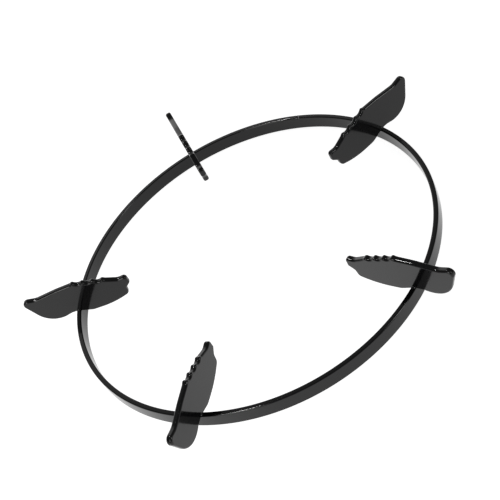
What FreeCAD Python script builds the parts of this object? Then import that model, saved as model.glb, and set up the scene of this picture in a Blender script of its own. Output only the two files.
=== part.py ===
# Wok ring: a hoop bent from flat steel bar, with upright fins of steel plate
# welded across its upper edge. The hoop goes over the burner, and the wok's
# round bottom sits in the scallops near the fins' inner ends.
#
# Frame: the hoop's axis is Z and its underside is the plane z = 0.
# All sizes are in millimetres and all angles in degrees.

import FreeCAD
import Part
import math
import os

# Hoop
HOOP_OUTER_RADIUS = 112.0
HOOP_THICKNESS = 3.0
HOOP_HEIGHT = 8.8
HOOP_EDGE_ROUND = 0.7

# Fins
FIN_COUNT = 5
FIRST_FIN_ANGLE = 90.0
FIN_THICKNESS = 3.6
FIN_EDGE_ROUND = 1.2

# A fin's outline is measured from the hoop: distances inward from its inner
# face, distances outward from its outer face, and heights from its upper edge.

# Seat on the hoop
SEAT_CLEARANCE = 0.1
HEEL_DEPTH = 1.5

# Nose at the inner end, and the throat and shoulder set back under it
NOSE_REACH = 36.4
NOSE_TOP_HEIGHT = 13.3
NOSE_BOTTOM_HEIGHT = 7.5
NOSE_TOP_ROUND = 2.0
NOSE_BOTTOM_ROUND = 1.3
THROAT_SETBACK = 3.3
THROAT_HEIGHT = 4.6
THROAT_ROUND = 3.0
SHOULDER_SETBACK = 4.2
SHOULDER_HEIGHT = -0.2
SHOULDER_ROUND = 3.0

# Inner lobe, the part of the lower edge that hangs inside the hoop
LOBE_DEPTH = 3.9
LOBE_CORNER_REACH = 21.6
LOBE_CORNER_ROUND = 52.0
LOBE_END_REACH = 6.8
LOBE_END_ROUND = 8.0

# Upper edge between the nose and the scallops
DIP_SETBACK = 5.4
DIP_HEIGHT = 12.7
DIP_ROUND = 6.0
RAMP_FOOT_DROP = 1.3
RAMP_FOOT_RUN = 1.7
RAMP_FOOT_ROUND = 1.2

# Scallops, between pointed tips that climb outward in equal steps
TIP_COUNT = 4
LAST_TIP_REACH = 5.2
LAST_TIP_HEIGHT = 21.35
TIP_PITCH = 5.8
TIP_RISE = 1.5
TIP_ROUND = 1.3
SCALLOP_DEPTH = 0.95
SCALLOP_FLAT = 0.25

# Upper edge from the last tip to the outer end, measured outward
LAND_START_RUN = 1.9
LAND_START_DROP = 0.85
LAND_START_ROUND = 1.5
CROWN_REACH = 4.0
CROWN_HEIGHT = 19.9
CROWN_ROUND = 30.0
LIP_DIP_REACH = 17.5
LIP_DIP_HEIGHT = 18.2
LIP_DIP_ROUND = 10.0

# Outer end
END_TOP_REACH = 28.4
END_TOP_HEIGHT = 20.6
END_TOP_ROUND = 3.2
END_BOTTOM_REACH = 19.4
END_BOTTOM_DEPTH = 2.0
END_BOTTOM_ROUND = 14.8
OUTER_LOBE_REACH = 8.0
OUTER_LOBE_ROUND = 16.0

FULL_TURN = 360.0

# The most of a wall, or of an outline's side, that rounds may take up
ROUND_SHARE = 0.96


def tangent_lengths(points, radii):
    """How far from each corner its round starts, limited by the sides it lies on."""
    count = len(points)
    wanted = []
    for i in range(count):
        back = points[i - 1] - points[i]
        ahead = points[(i + 1) % count] - points[i]
        wanted.append(radii[i] / math.tan(back.getAngle(ahead) / 2))
    limits = [1.0] * count
    for i in range(count):
        after = (i + 1) % count
        room = ROUND_SHARE * (points[after] - points[i]).Length
        needed = wanted[i] + wanted[after]
        if needed > room:
            limits[i] = min(limits[i], room / needed)
            limits[after] = min(limits[after], room / needed)
    return [length * limit for length, limit in zip(wanted, limits)]


def rounded_wire(corners):
    """Closed wire in the plane y = 0 through corners of (x, z, radius)."""
    points = [FreeCAD.Vector(x, 0, z) for x, z, radius in corners]
    lengths = tangent_lengths(points, [radius for x, z, radius in corners])
    rounds = []
    for i, corner in enumerate(points):
        back = (points[i - 1] - corner).normalize()
        ahead = (points[(i + 1) % len(points)] - corner).normalize()
        half_angle = back.getAngle(ahead) / 2
        radius = lengths[i] * math.tan(half_angle)
        bisector = (back + ahead).normalize()
        middle = corner + bisector * (radius / math.sin(half_angle) - radius)
        rounds.append((corner + back * lengths[i], middle, corner + ahead * lengths[i]))
    edges = []
    for i, (start, middle, end) in enumerate(rounds):
        if lengths[i] > 0:
            edges.append(Part.Arc(start, middle, end).toShape())
        next_start = rounds[(i + 1) % len(rounds)][0]
        edges.append(Part.LineSegment(end, next_start).toShape())
    return Part.Wire(edges)


def scallop_corners(last_tip_x, last_tip_z):
    """Tips and the rounded valleys between them, from the inner tip outward."""
    half_chord = math.hypot(TIP_PITCH, TIP_RISE) / 2
    side_angle = 2 * math.atan2(SCALLOP_DEPTH, half_chord)
    valley_depth = half_chord * math.tan(side_angle)
    side_length = half_chord / math.cos(side_angle)
    tip_tangent = TIP_ROUND * math.tan(side_angle)
    valley_tangent = side_length - tip_tangent - SCALLOP_FLAT
    valley_round = valley_tangent / math.tan(side_angle)
    climb = math.atan2(TIP_RISE, TIP_PITCH)
    corners = []
    for number in range(TIP_COUNT):
        steps_to_last = TIP_COUNT - 1 - number
        tip_x = last_tip_x - steps_to_last * TIP_PITCH
        tip_z = last_tip_z - steps_to_last * TIP_RISE
        corners.append((tip_x, tip_z, TIP_ROUND))
        if steps_to_last:
            valley_x = tip_x + TIP_PITCH / 2 + valley_depth * math.sin(climb)
            valley_z = tip_z + TIP_RISE / 2 - valley_depth * math.cos(climb)
            corners.append((valley_x, valley_z, valley_round))
    return corners


def fin_corners():
    """Corners of a fin's outline as (x, z, radius), with x from the hoop's axis."""
    inner_face = HOOP_OUTER_RADIUS - HOOP_THICKNESS
    outer_face = HOOP_OUTER_RADIUS
    seat = HOOP_HEIGHT

    def inside(reach, height, radius):
        return (inner_face - reach, seat + height, radius)

    def outside(reach, height, radius):
        return (outer_face + reach, seat + height, radius)

    scallops = scallop_corners(inner_face - LAST_TIP_REACH, seat + LAST_TIP_HEIGHT)
    first_tip_x, first_tip_z, _ = scallops[0]
    last_tip_x, last_tip_z, _ = scallops[-1]
    ramp_foot = (first_tip_x - RAMP_FOOT_RUN, first_tip_z - RAMP_FOOT_DROP, RAMP_FOOT_ROUND)
    land_start = (last_tip_x + LAND_START_RUN, last_tip_z - LAND_START_DROP, LAND_START_ROUND)

    return [
        inside(NOSE_REACH, NOSE_BOTTOM_HEIGHT, NOSE_BOTTOM_ROUND),
        inside(NOSE_REACH, NOSE_TOP_HEIGHT, NOSE_TOP_ROUND),
        inside(NOSE_REACH - DIP_SETBACK, DIP_HEIGHT, DIP_ROUND),
        ramp_foot,
        *scallops,
        land_start,
        outside(CROWN_REACH, CROWN_HEIGHT, CROWN_ROUND),
        outside(LIP_DIP_REACH, LIP_DIP_HEIGHT, LIP_DIP_ROUND),
        outside(END_TOP_REACH, END_TOP_HEIGHT, END_TOP_ROUND),
        outside(END_BOTTOM_REACH, -END_BOTTOM_DEPTH, END_BOTTOM_ROUND),
        outside(OUTER_LOBE_REACH, -END_BOTTOM_DEPTH, OUTER_LOBE_ROUND),
        outside(SEAT_CLEARANCE, 0, 0),
        inside(SEAT_CLEARANCE, 0, 0),
        inside(SEAT_CLEARANCE, -HEEL_DEPTH, 0),
        inside(LOBE_END_REACH, -LOBE_DEPTH, LOBE_END_ROUND),
        inside(LOBE_CORNER_REACH, -LOBE_DEPTH, LOBE_CORNER_ROUND),
        inside(NOSE_REACH - SHOULDER_SETBACK, SHOULDER_HEIGHT, SHOULDER_ROUND),
        inside(NOSE_REACH - THROAT_SETBACK, THROAT_HEIGHT, THROAT_ROUND),
    ]


def is_free_edge(edge):
    """True for an edge round a face of the plate, away from the seat on the hoop."""
    box = edge.BoundBox
    if box.YLength > FIN_THICKNESS / 2:
        return False
    seat_start = HOOP_OUTER_RADIUS - HOOP_THICKNESS - SEAT_CLEARANCE
    seat_end = HOOP_OUTER_RADIUS + SEAT_CLEARANCE
    margin = SEAT_CLEARANCE / 10
    at_seat = box.XMin > seat_start - margin and box.XMax < seat_end + margin
    return not (at_seat and box.ZMax < HOOP_HEIGHT + margin)


def make_fin():
    """One fin along +X, with the edges of its two faces rounded."""
    thinnest = min(FIN_THICKNESS / 2, HEEL_DEPTH, TIP_ROUND)
    edge_round = min(FIN_EDGE_ROUND, ROUND_SHARE * thinnest)
    outline = rounded_wire(fin_corners())
    plate = Part.Face(outline).extrude(FreeCAD.Vector(0, FIN_THICKNESS, 0))
    plate.translate(FreeCAD.Vector(0, -FIN_THICKNESS / 2, 0))
    free_edges = [edge for edge in plate.Edges if is_free_edge(edge)]
    return plate.makeFillet(edge_round, free_edges)


def make_hoop():
    """Closed hoop of flat bar on edge, with rounded corners."""
    inner_radius = HOOP_OUTER_RADIUS - HOOP_THICKNESS
    section = rounded_wire([
        (inner_radius, 0, HOOP_EDGE_ROUND),
        (HOOP_OUTER_RADIUS, 0, HOOP_EDGE_ROUND),
        (HOOP_OUTER_RADIUS, HOOP_HEIGHT, HOOP_EDGE_ROUND),
        (inner_radius, HOOP_HEIGHT, HOOP_EDGE_ROUND),
    ])
    axis = FreeCAD.Vector(0, 0, 1)
    return Part.Face(section).revolve(FreeCAD.Vector(0, 0, 0), axis, FULL_TURN)


def make_parts():
    """Every piece by its name, in its place."""
    parts = {"hoop": make_hoop()}
    fin = make_fin()
    for number in range(FIN_COUNT):
        placed = fin.copy()
        angle = FIRST_FIN_ANGLE + number * FULL_TURN / FIN_COUNT
        placed.rotate(FreeCAD.Vector(0, 0, 0), FreeCAD.Vector(0, 0, 1), angle)
        parts[f"fin_{number + 1}"] = placed
    return parts


os.makedirs("parts", exist_ok=True)
for name, shape in make_parts().items():
    shape.exportStep(f"parts/{name}.step")
    print(name, "volume", round(shape.Volume, 1), "valid", shape.isValid(), "solids", len(shape.Solids))
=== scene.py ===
# Looks of the wok ring: a hoop of flat bar and five upright fins, all in one
# coat of glossy black vitreous enamel, on a white floor in soft studio light.
# Everything is in metres, with the hoop's axis as Z and its underside at z = 0.

import bmesh
import bpy
import math
from mathutils import Matrix, Vector


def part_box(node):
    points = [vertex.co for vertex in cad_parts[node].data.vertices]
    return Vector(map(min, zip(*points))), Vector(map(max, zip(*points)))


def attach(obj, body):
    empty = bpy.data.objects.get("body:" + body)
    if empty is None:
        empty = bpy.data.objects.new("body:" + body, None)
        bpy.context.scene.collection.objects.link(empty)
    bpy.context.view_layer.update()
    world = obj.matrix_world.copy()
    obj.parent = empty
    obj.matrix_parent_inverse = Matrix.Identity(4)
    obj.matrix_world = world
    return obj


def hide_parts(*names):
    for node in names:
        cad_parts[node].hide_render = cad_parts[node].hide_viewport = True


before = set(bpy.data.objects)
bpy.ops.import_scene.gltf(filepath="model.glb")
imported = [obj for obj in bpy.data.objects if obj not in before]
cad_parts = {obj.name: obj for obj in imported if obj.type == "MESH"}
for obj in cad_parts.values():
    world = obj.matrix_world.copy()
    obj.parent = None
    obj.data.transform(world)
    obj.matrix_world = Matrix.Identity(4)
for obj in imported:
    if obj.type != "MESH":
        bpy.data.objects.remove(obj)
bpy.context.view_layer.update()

MM = 0.001
RIGHT_ANGLE = 90.0

# Hoop section
HOOP_THICKNESS = 3.0 * MM
HOOP_EDGE_ROUND = 0.7 * MM
HOOP_STEPS = 720
ROUND_STEPS = 8

# Fins
FIN_NAMES = sorted(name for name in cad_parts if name.startswith("fin_"))
FIN_THICKNESS = 3.6 * MM
MERGE_DISTANCE = 0.002 * MM
FLAT_ANGLE = math.radians(0.05)

# Weight of a face's area in its corners' normals, at its most
FACE_AREA_WEIGHT = 100

# Weld fillet, under the enamel, in each corner between a fin's side and the hoop's upper edge.
# Its leg is smaller at its ends, and its root lies inside the fin and the hoop.
FILLET_LEG = 1.0 * MM
FILLET_END_LEG = 0.4 * MM
FILLET_ROOT = 0.2 * MM
FILLET_END_GAP = 0.3 * MM
FILLET_ROWS = 12
FILLET_STEPS = 8

# Enamel
ENAMEL_BLACK = (0.0050, 0.0050, 0.0053, 1.0)
ENAMEL_DEEP_BLACK = (0.0032, 0.0032, 0.0035, 1.0)
ENAMEL_IOR = 1.37
ENAMEL_ROUGHNESS = (0.07, 0.13)

# Unevenness of the enamel: clouds in its colour and gloss, waves and fine peel in its surface
CLOUD_SIZE = 14.0 * MM
CLOUD_DETAIL = 3.0
WAVE_SIZE = 6.0 * MM
WAVE_DETAIL = 1.0
WAVE_HEIGHT = 0.010 * MM
PEEL_SIZE = 1.1 * MM
PEEL_DETAIL = 0.0
PEEL_HEIGHT = 0.0012 * MM

# Camera, as the photograph has it
CAMERA_AZIMUTH = -89.505
CAMERA_ELEVATION = 41.50
CAMERA_ROLL = -31.28
CAMERA_DISTANCE = 635.9 * MM
CAMERA_RIGHT = 0.74 * MM
CAMERA_UP = 0.49 * MM
CAMERA_AIM_DROP = 0.38 * MM
CAMERA_LENS = 79.49
CAMERA_SENSOR = 36.0

# Floor: a painted glow in the paper, rising from one side of the ring to the other, towards the
# bright side's azimuth
FLOOR_HALF = 12.0
FLOOR_WHITE = (0.80, 0.80, 0.80, 1.0)
FLOOR_PAINTED_GLOW = (0.86, 1.06)
FLOOR_BRIGHT_SIDE = 205.0
FLOOR_BRIGHT_REACH = 140.0 * MM

# Pale backdrop behind the ring: full within the first angle of its middle, gone at the second
BACKDROP_AZIMUTH = 99.0
BACKDROP_ELEVATION = 10.0
BACKDROP_FADE = (10.0, 43.0)
BACKDROP_FALLOFF = 1.3
BACKDROP_GLOW = 1.3
STUDIO_DIMNESS = 0.22
SEEN_WHITE = 1.0
WHITE = (1.0, 1.0, 1.0, 1.0)

# Softboxes: azimuth, elevation, width and height in degrees as the ring sees them, and radiance
LIGHT_DISTANCE = 8.0
SOFTBOXES = {
    "back_light": (124.0, 66.4, 5.0, 3.2, 190.0),
    "left_strip": (222.0, 30.0, 19.0, 40.0, 5.5),
    "right_strip": (322.5, 30.0, 9.0, 40.0, 7.0),
}


def new_object(name, mesh):
    """An object for the mesh, in the scene, at the origin."""
    piece = bpy.data.objects.new(name, mesh)
    bpy.context.scene.collection.objects.link(piece)
    return piece


def baked(carrier, name):
    """A plain mesh object of what the carrier's modifiers make; the carrier is removed."""
    bpy.context.view_layer.update()
    evaluated = carrier.evaluated_get(bpy.context.evaluated_depsgraph_get())
    mesh = bpy.data.meshes.new_from_object(evaluated)
    mesh.name = name
    bpy.data.objects.remove(carrier)
    return new_object(name, mesh)


def keep_flat_faces_flat(carrier):
    """Shades the large faces flat and the narrow rounds between them smooth."""
    weights = carrier.modifiers.new("Flat faces stay flat", "WEIGHTED_NORMAL")
    weights.weight = FACE_AREA_WEIGHT


def direction(azimuth, elevation):
    """Unit vector for an azimuth and an elevation in degrees."""
    turn = math.radians(azimuth)
    rise = math.radians(elevation)
    return Vector((
        math.cos(rise) * math.cos(turn), math.cos(rise) * math.sin(turn), math.sin(rise)))


def computed(nodes, links, operation, *values):
    """A math node's result; each value is a number or another node's output."""
    node = nodes.new("ShaderNodeMath")
    node.operation = operation
    for socket, value in zip(node.inputs, values):
        if isinstance(value, float):
            socket.default_value = value
        else:
            links.new(value, socket)
    return node.outputs["Value"]


def remapped(nodes, links, value, source, target):
    """The value moved from the source range to the target range, and kept inside it."""
    node = nodes.new("ShaderNodeMapRange")
    node.inputs["From Min"].default_value = source[0]
    node.inputs["From Max"].default_value = source[1]
    node.inputs["To Min"].default_value = target[0]
    node.inputs["To Max"].default_value = target[1]
    links.new(value, node.inputs["Value"])
    return node.outputs["Result"]


def reach_along(nodes, links, vector, axis):
    """How far the vector reaches along the axis."""
    node = nodes.new("ShaderNodeVectorMath")
    node.operation = "DOT_PRODUCT"
    node.inputs[1].default_value = axis
    links.new(vector, node.inputs[0])
    return node.outputs["Value"]


def noise(nodes, links, position, size, detail):
    """A noise texture whose features are about the given size."""
    texture = nodes.new("ShaderNodeTexNoise")
    texture.inputs["Scale"].default_value = 1.0 / size
    texture.inputs["Detail"].default_value = detail
    links.new(position, texture.inputs["Vector"])
    return texture.outputs["Fac"]


def bumped(nodes, links, height, depth, normal=None):
    """A bump of the given depth, over an earlier normal if there is one."""
    bump = nodes.new("ShaderNodeBump")
    bump.inputs["Strength"].default_value = 1.0
    bump.inputs["Distance"].default_value = depth
    links.new(height, bump.inputs["Height"])
    if normal is not None:
        links.new(normal, bump.inputs["Normal"])
    return bump.outputs["Normal"]


def black_enamel():
    """Glossy black vitreous enamel: deep black glass with a slight orange peel."""
    material = bpy.data.materials.new("black_enamel")
    material.use_nodes = True
    nodes = material.node_tree.nodes
    links = material.node_tree.links
    shader = nodes["Principled BSDF"]
    shader.inputs["IOR"].default_value = ENAMEL_IOR
    position = nodes.new("ShaderNodeTexCoord").outputs["Object"]

    clouds = noise(nodes, links, position, CLOUD_SIZE, CLOUD_DETAIL)
    colour = nodes.new("ShaderNodeMix")
    colour.data_type = "RGBA"
    colour.inputs["A"].default_value = ENAMEL_DEEP_BLACK
    colour.inputs["B"].default_value = ENAMEL_BLACK
    links.new(clouds, colour.inputs["Factor"])
    links.new(colour.outputs["Result"], shader.inputs["Base Color"])
    roughness = remapped(nodes, links, clouds, (0.0, 1.0), ENAMEL_ROUGHNESS)
    links.new(roughness, shader.inputs["Roughness"])

    waves = noise(nodes, links, position, WAVE_SIZE, WAVE_DETAIL)
    peel = noise(nodes, links, position, PEEL_SIZE, PEEL_DETAIL)
    wavy = bumped(nodes, links, waves, WAVE_HEIGHT)
    links.new(bumped(nodes, links, peel, PEEL_HEIGHT, wavy), shader.inputs["Normal"])
    return material


def bar_path(nodes, links, sizes):
    """Circle round the hoop's axis, in the middle of the bar's thickness."""
    radius = computed(nodes, links, "MULTIPLY_ADD", sizes["Thickness"], -0.5, sizes["Outer Radius"])
    circle = nodes.new("GeometryNodeCurvePrimitiveCircle")
    links.new(sizes["Steps Around"], circle.inputs["Resolution"])
    links.new(radius, circle.inputs["Radius"])
    return circle.outputs["Curve"]


def bar_section(nodes, links, sizes):
    """The bar's rectangle, with rounded corners."""
    rectangle = nodes.new("GeometryNodeCurvePrimitiveQuadrilateral")
    links.new(sizes["Thickness"], rectangle.inputs["Width"])
    links.new(sizes["Height"], rectangle.inputs["Height"])
    rounded = nodes.new("GeometryNodeFilletCurve")
    rounded.mode = "POLY"
    links.new(rectangle.outputs["Curve"], rounded.inputs["Curve"])
    links.new(sizes["Round Steps"], rounded.inputs["Count"])
    links.new(sizes["Edge Round"], rounded.inputs["Radius"])
    return rounded.outputs["Curve"]


def standing_bar(nodes, links, sizes):
    """The section swept along its path, and lifted by half its height to stand at z = 0."""
    sweep = nodes.new("GeometryNodeCurveToMesh")
    links.new(bar_path(nodes, links, sizes), sweep.inputs["Curve"])
    links.new(bar_section(nodes, links, sizes), sweep.inputs["Profile Curve"])
    lift = nodes.new("ShaderNodeCombineXYZ")
    links.new(computed(nodes, links, "MULTIPLY", sizes["Height"], 0.5), lift.inputs["Z"])
    raised = nodes.new("GeometryNodeTransform")
    links.new(sweep.outputs["Mesh"], raised.inputs["Geometry"])
    links.new(lift.outputs["Vector"], raised.inputs["Translation"])
    return raised.outputs["Geometry"]


def hoop_tree(material):
    """Geometry Nodes tree that sweeps a bar's rounded section round a circle."""
    tree = bpy.data.node_groups.new("Bent flat bar", "GeometryNodeTree")
    for name in ("Outer Radius", "Thickness", "Height", "Edge Round"):
        tree.interface.new_socket(name, in_out="INPUT", socket_type="NodeSocketFloat")
    for name in ("Steps Around", "Round Steps"):
        tree.interface.new_socket(name, in_out="INPUT", socket_type="NodeSocketInt")
    tree.interface.new_socket("Geometry", in_out="OUTPUT", socket_type="NodeSocketGeometry")
    nodes = tree.nodes
    links = tree.links

    sizes = nodes.new("NodeGroupInput").outputs
    smooth = nodes.new("GeometryNodeSetShadeSmooth")
    links.new(standing_bar(nodes, links, sizes), smooth.inputs["Geometry"])
    real = nodes.new("GeometryNodeRealizeInstances")
    links.new(smooth.outputs["Geometry"], real.inputs["Geometry"])
    coated = nodes.new("GeometryNodeSetMaterial")
    coated.inputs["Material"].default_value = material
    links.new(real.outputs["Geometry"], coated.inputs["Geometry"])
    result = nodes.new("NodeGroupOutput")
    links.new(coated.outputs["Geometry"], result.inputs["Geometry"])
    return tree


def set_inputs(modifier, values):
    """Sets a Geometry Nodes modifier's inputs, each found by its name."""
    for item in modifier.node_group.interface.items_tree:
        if item.name in values:
            modifier[item.identifier] = values[item.name]


def make_hoop(material):
    """The hoop, with its radius and height from the frame."""
    low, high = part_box("hoop")
    carrier = new_object("hoop_bar", bpy.data.meshes.new("hoop_bar"))
    modifier = carrier.modifiers.new("Bar", "NODES")
    modifier.node_group = hoop_tree(material)
    set_inputs(modifier, {
        "Outer Radius": high.x,
        "Thickness": HOOP_THICKNESS,
        "Height": high.z - low.z,
        "Edge Round": HOOP_EDGE_ROUND,
        "Steps Around": HOOP_STEPS,
        "Round Steps": ROUND_STEPS,
    })
    keep_flat_faces_flat(carrier)
    return baked(carrier, "enamelled_hoop")


def fillet_row(along, side, seat):
    """Section of a fillet: its root, then its hollow from the hoop up to the fin."""
    hoop_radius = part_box("hoop")[1].x
    inner = hoop_radius - HOOP_THICKNESS + FILLET_END_GAP
    outer = hoop_radius - FILLET_END_GAP
    reach = inner + (outer - inner) * along
    leg = FILLET_END_LEG + (FILLET_LEG - FILLET_END_LEG) * math.sin(math.pi * along)
    wall = FIN_THICKNESS / 2.0
    points = [Vector((reach, side * (wall - FILLET_ROOT), seat - FILLET_ROOT))]
    for step in range(FILLET_STEPS + 1):
        turn = math.pi / 2.0 * step / FILLET_STEPS
        away = wall + leg * (1.0 - math.sin(turn))
        points.append(Vector((reach, side * away, seat + leg * (1.0 - math.cos(turn)))))
    return points


def add_fillet(work, turn, side):
    """Adds a closed fillet to the mesh, on one side of the fin that points along turn."""
    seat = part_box("hoop")[1].z
    rows = []
    for number in range(FILLET_ROWS + 1):
        points = fillet_row(number / FILLET_ROWS, side, seat)
        rows.append([work.verts.new(turn @ point) for point in points])
    faces = [work.faces.new(rows[0]), work.faces.new(rows[-1])]
    for row, following in zip(rows, rows[1:]):
        for i in range(len(row)):
            faces.append(work.faces.new((row[i - 1], row[i], following[i], following[i - 1])))
    bmesh.ops.recalc_face_normals(work, faces=faces)


def weld_fin(work, node):
    """Merges the plate's loose triangles to large faces, and adds a fillet on both sides."""
    bmesh.ops.remove_doubles(work, verts=work.verts, dist=MERGE_DISTANCE)
    bmesh.ops.dissolve_limit(
        work, angle_limit=FLAT_ANGLE, verts=work.verts, edges=work.edges, delimit=set())
    low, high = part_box(node)
    middle = (low + high) / 2.0
    turn = Matrix.Rotation(math.atan2(middle.y, middle.x), 3, "Z")
    for side in (-1.0, 1.0):
        add_fillet(work, turn, side)


def make_fin(node, material):
    """A fin and its weld, flat on its faces and smooth at its edges."""
    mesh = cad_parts[node].data.copy()
    if mesh.has_custom_normals:
        mesh.attributes.remove(mesh.attributes["custom_normal"])
    work = bmesh.new()
    work.from_mesh(mesh)
    weld_fin(work, node)
    for face in work.faces:
        face.smooth = True
    work.to_mesh(mesh)
    work.free()
    mesh.materials.clear()
    mesh.materials.append(material)
    carrier = new_object(node + "_plate", mesh)
    keep_flat_faces_flat(carrier)
    return baked(carrier, "enamelled_" + node)


def dress(piece, node):
    """Hides the solid that the piece stands for, and makes the piece ride with the ring."""
    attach(piece, "root")
    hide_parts(node)


def white_paper():
    """White paper with a painted glow, as if lit from below, a little brighter at the front left.
    """
    material = bpy.data.materials.new("white_paper")
    material.use_nodes = True
    nodes = material.node_tree.nodes
    links = material.node_tree.links
    nodes.clear()
    paper = nodes.new("ShaderNodeBsdfDiffuse")
    paper.inputs["Color"].default_value = FLOOR_WHITE
    position = nodes.new("ShaderNodeTexCoord").outputs["Object"]
    across = reach_along(nodes, links, position, direction(FLOOR_BRIGHT_SIDE, 0.0))
    reach = (-FLOOR_BRIGHT_REACH, FLOOR_BRIGHT_REACH)
    # Painted glow: the paper gives off light of its own, brighter towards the front left.
    glow = nodes.new("ShaderNodeEmission")
    links.new(remapped(nodes, links, across, reach, FLOOR_PAINTED_GLOW), glow.inputs["Strength"])
    both = nodes.new("ShaderNodeAddShader")
    links.new(paper.outputs["BSDF"], both.inputs[0])
    links.new(glow.outputs["Emission"], both.inputs[1])
    output = nodes.new("ShaderNodeOutputMaterial")
    links.new(both.outputs["Shader"], output.inputs["Surface"])
    return material


def make_floor():
    """A large square floor of white paper, under the ring."""
    mesh = bpy.data.meshes.new("floor")
    signs = ((-1, -1), (1, -1), (1, 1), (-1, 1))
    corners = [(x * FLOOR_HALF, y * FLOOR_HALF, 0.0) for x, y in signs]
    mesh.from_pydata(corners, [], [(0, 1, 2, 3)])
    mesh.materials.append(white_paper())
    new_object("floor", mesh)


def studio_glow(nodes, links):
    """Brightness of the dim studio and of the pale backdrop low behind the ring."""
    towards = nodes.new("ShaderNodeTexCoord").outputs["Generated"]
    middle = direction(BACKDROP_AZIMUTH, BACKDROP_ELEVATION)
    nearness = reach_along(nodes, links, towards, middle)
    full, gone = (math.cos(math.radians(angle)) for angle in BACKDROP_FADE)
    inside = remapped(nodes, links, nearness, (gone, full), (0.0, 1.0))
    faded = computed(nodes, links, "POWER", inside, BACKDROP_FALLOFF)
    return computed(nodes, links, "MULTIPLY_ADD", faded, BACKDROP_GLOW, STUDIO_DIMNESS)


def make_world():
    """The studio round the ring, white where the camera itself looks past the floor."""
    world = bpy.data.worlds.new("studio")
    world.use_nodes = True
    nodes = world.node_tree.nodes
    links = world.node_tree.links
    strength = nodes.new("ShaderNodeMix")
    links.new(nodes.new("ShaderNodeLightPath").outputs["Is Camera Ray"], strength.inputs["Factor"])
    links.new(studio_glow(nodes, links), strength.inputs["A"])
    strength.inputs["B"].default_value = SEEN_WHITE
    background = nodes["Background"]
    background.inputs["Color"].default_value = WHITE
    links.new(strength.outputs["Result"], background.inputs["Strength"])
    bpy.context.scene.world = world


def add_softbox(name, azimuth, elevation, wide, tall, radiance):
    """A rectangular light that faces the ring and shows only in its reflections."""
    data = bpy.data.lights.new(name, "AREA")
    data.shape = "RECTANGLE"
    data.size = 2.0 * LIGHT_DISTANCE * math.tan(math.radians(wide) / 2.0)
    data.size_y = 2.0 * LIGHT_DISTANCE * math.tan(math.radians(tall) / 2.0)
    data.energy = radiance * math.pi * data.size * data.size_y
    light = bpy.data.objects.new(name, data)
    towards = direction(azimuth, elevation)
    light.location = towards * LIGHT_DISTANCE
    light.rotation_euler = towards.to_track_quat("Z", "Y").to_euler()
    light.visible_camera = False
    light.visible_diffuse = False
    bpy.context.scene.collection.objects.link(light)


def make_camera():
    """The camera, aimed on the hoop's axis just below its upper edge."""
    data = bpy.data.cameras.new("camera")
    data.lens = CAMERA_LENS
    data.sensor_width = CAMERA_SENSOR
    camera = bpy.data.objects.new("camera", data)
    turn = (
        Matrix.Rotation(math.radians(CAMERA_AZIMUTH + RIGHT_ANGLE), 4, "Z")
        @ Matrix.Rotation(math.radians(RIGHT_ANGLE - CAMERA_ELEVATION), 4, "X")
        @ Matrix.Rotation(math.radians(CAMERA_ROLL), 4, "Z"))
    hoop_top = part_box("hoop")[1].z
    aim = Matrix.Translation((0.0, 0.0, hoop_top - CAMERA_AIM_DROP))
    back = Matrix.Translation((CAMERA_RIGHT, CAMERA_UP, CAMERA_DISTANCE))
    camera.matrix_world = aim @ turn @ back
    bpy.context.scene.collection.objects.link(camera)
    bpy.context.scene.camera = camera


enamel = black_enamel()
dress(make_hoop(enamel), "hoop")
for fin_name in FIN_NAMES:
    dress(make_fin(fin_name, enamel), fin_name)

make_floor()
make_world()
for softbox_name, placing in SOFTBOXES.items():
    add_softbox(softbox_name, *placing)
make_camera()
bpy.context.scene.view_settings.view_transform = "Standard"
